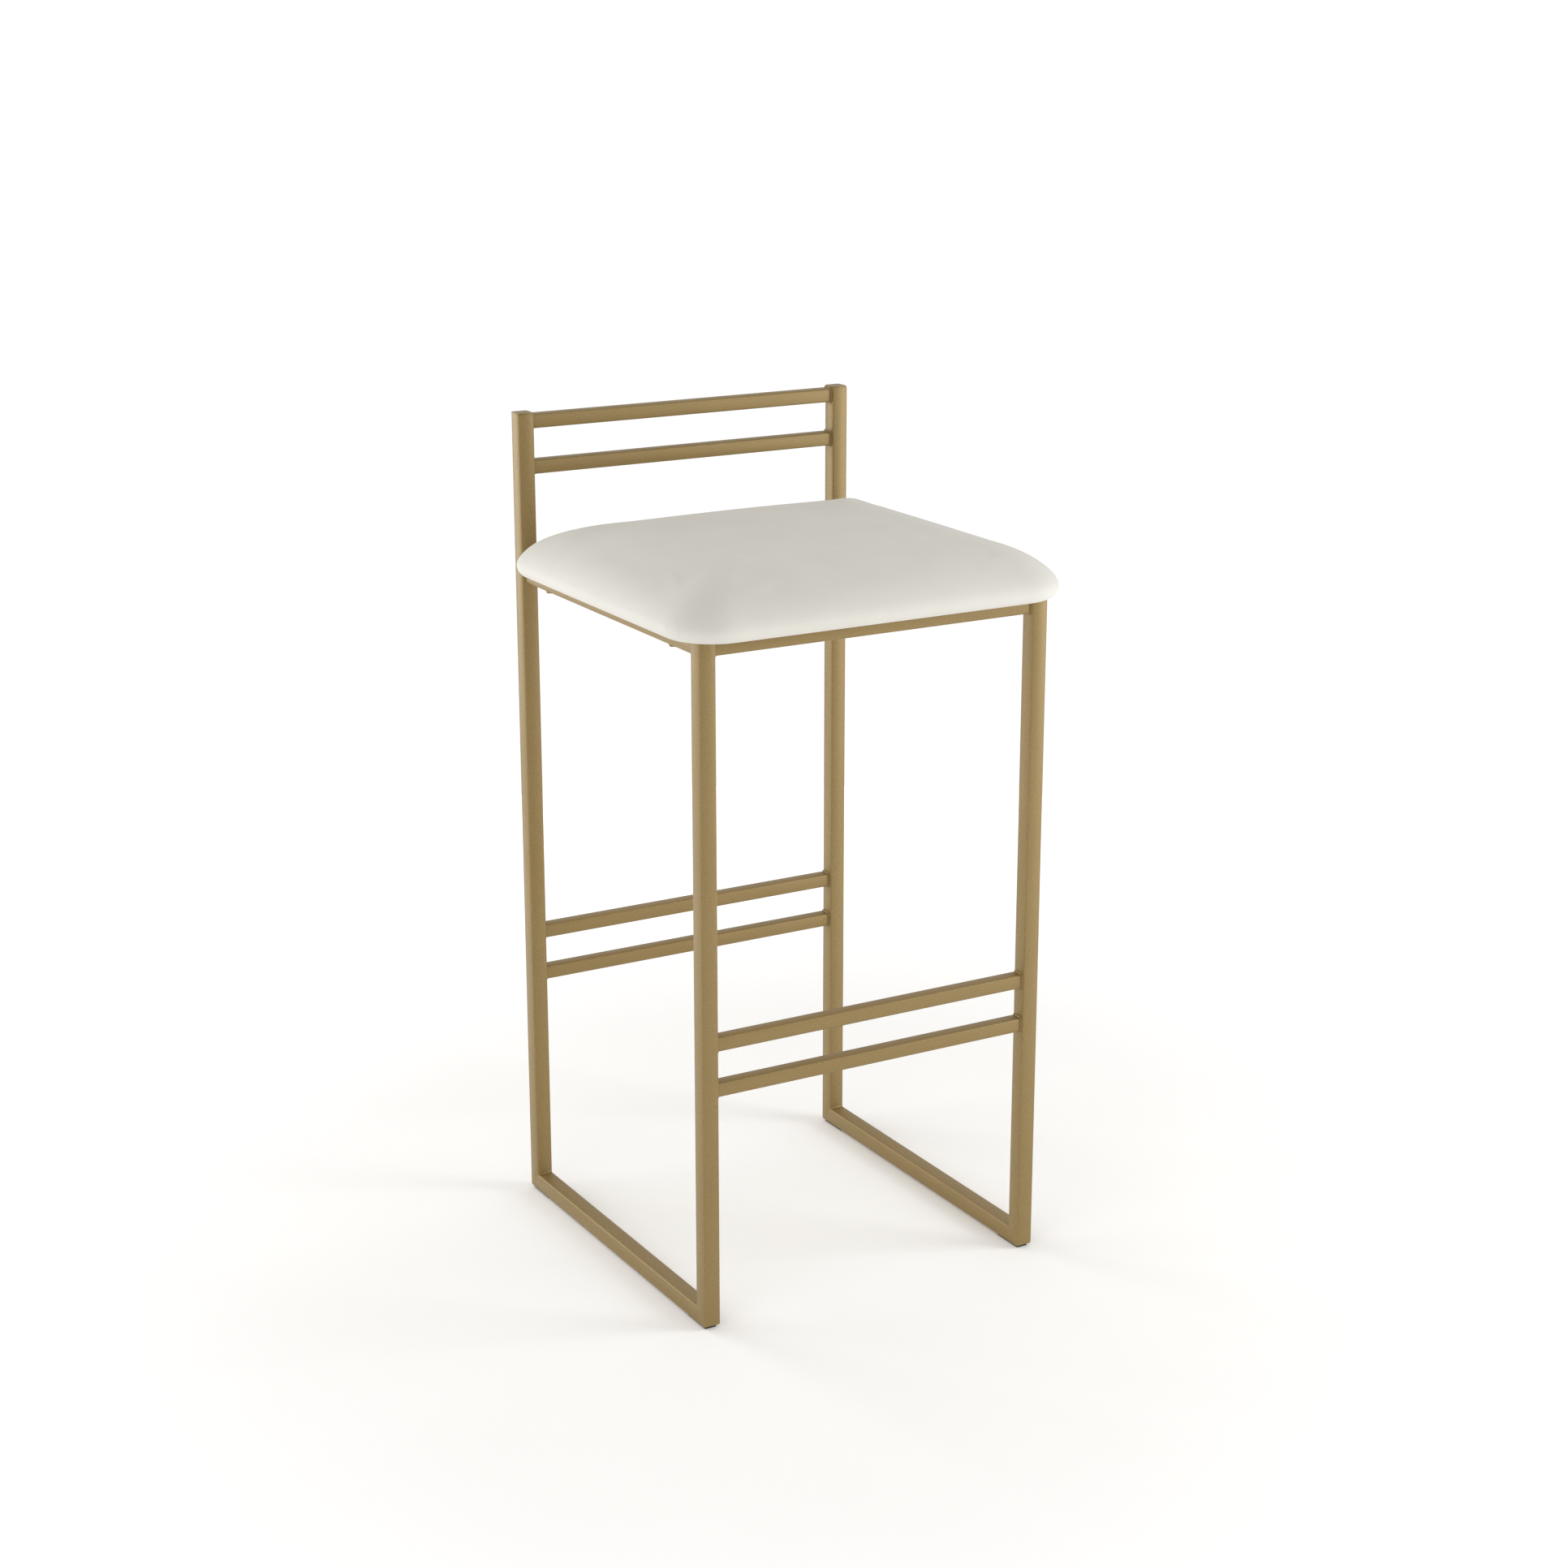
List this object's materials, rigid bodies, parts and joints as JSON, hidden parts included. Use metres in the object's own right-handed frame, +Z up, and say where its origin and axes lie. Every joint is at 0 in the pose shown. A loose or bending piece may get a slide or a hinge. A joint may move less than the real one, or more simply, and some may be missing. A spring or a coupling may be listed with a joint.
{
  "type": "bar stool",
  "caption": "Low-back bar stool: welded square-tube sled frame with ladder back bars, footrest bars and a crowned vinyl seat",
  "frame": {"origin": "on the floor, under the middle of the stool's outline", "axes": "+Z up, +Y from the front legs to the rear posts, +X from the left side frame to the right one as seen from the front"},
  "size_m": [0.472, 0.4598, 0.928],
  "materials": {
    "frame_paint": "champagne-gold textured powder coat",
    "glide_plastic": "matte",
    "seat_vinyl": "matte",
    "seat_padding": "matte",
    "plywood": "matte",
    "zinc_steel": "satin",
    "staple_steel": "satin"
  },
  "bodies": {
    "root": {"left_rear_post": "frame_paint", "right_rear_post": "frame_paint", "left_front_leg": "frame_paint", "right_front_leg": "frame_paint", "left_floor_rail": "frame_paint", "right_floor_rail": "frame_paint", "left_seat_rail": "frame_paint", "right_seat_rail": "frame_paint", "front_seat_rail": "frame_paint", "rear_seat_rail": "frame_paint", "upper_back_bar": "frame_paint", "lower_back_bar": "frame_paint", "upper_footrest_bar": "frame_paint", "lower_footrest_bar": "frame_paint", "upper_rear_stretcher": "frame_paint", "lower_rear_stretcher": "frame_paint", "left_post_cap": "frame_paint", "right_post_cap": "frame_paint", "back_bar_welds": "frame_paint", "stretcher_welds": "frame_paint", "footrest_welds": "frame_paint", "seat_rail_welds": "frame_paint", "left_front_glide": "glide_plastic", "left_rear_glide": "glide_plastic", "right_front_glide": "glide_plastic", "right_rear_glide": "glide_plastic", "seat_cover": "seat_vinyl", "seat_foam": "seat_padding", "seat_board": "plywood", "seat_screws": "zinc_steel", "lock_washers": "zinc_steel", "tee_nuts": "zinc_steel", "cover_staples": "staple_steel"}
  },
  "joints": []
}
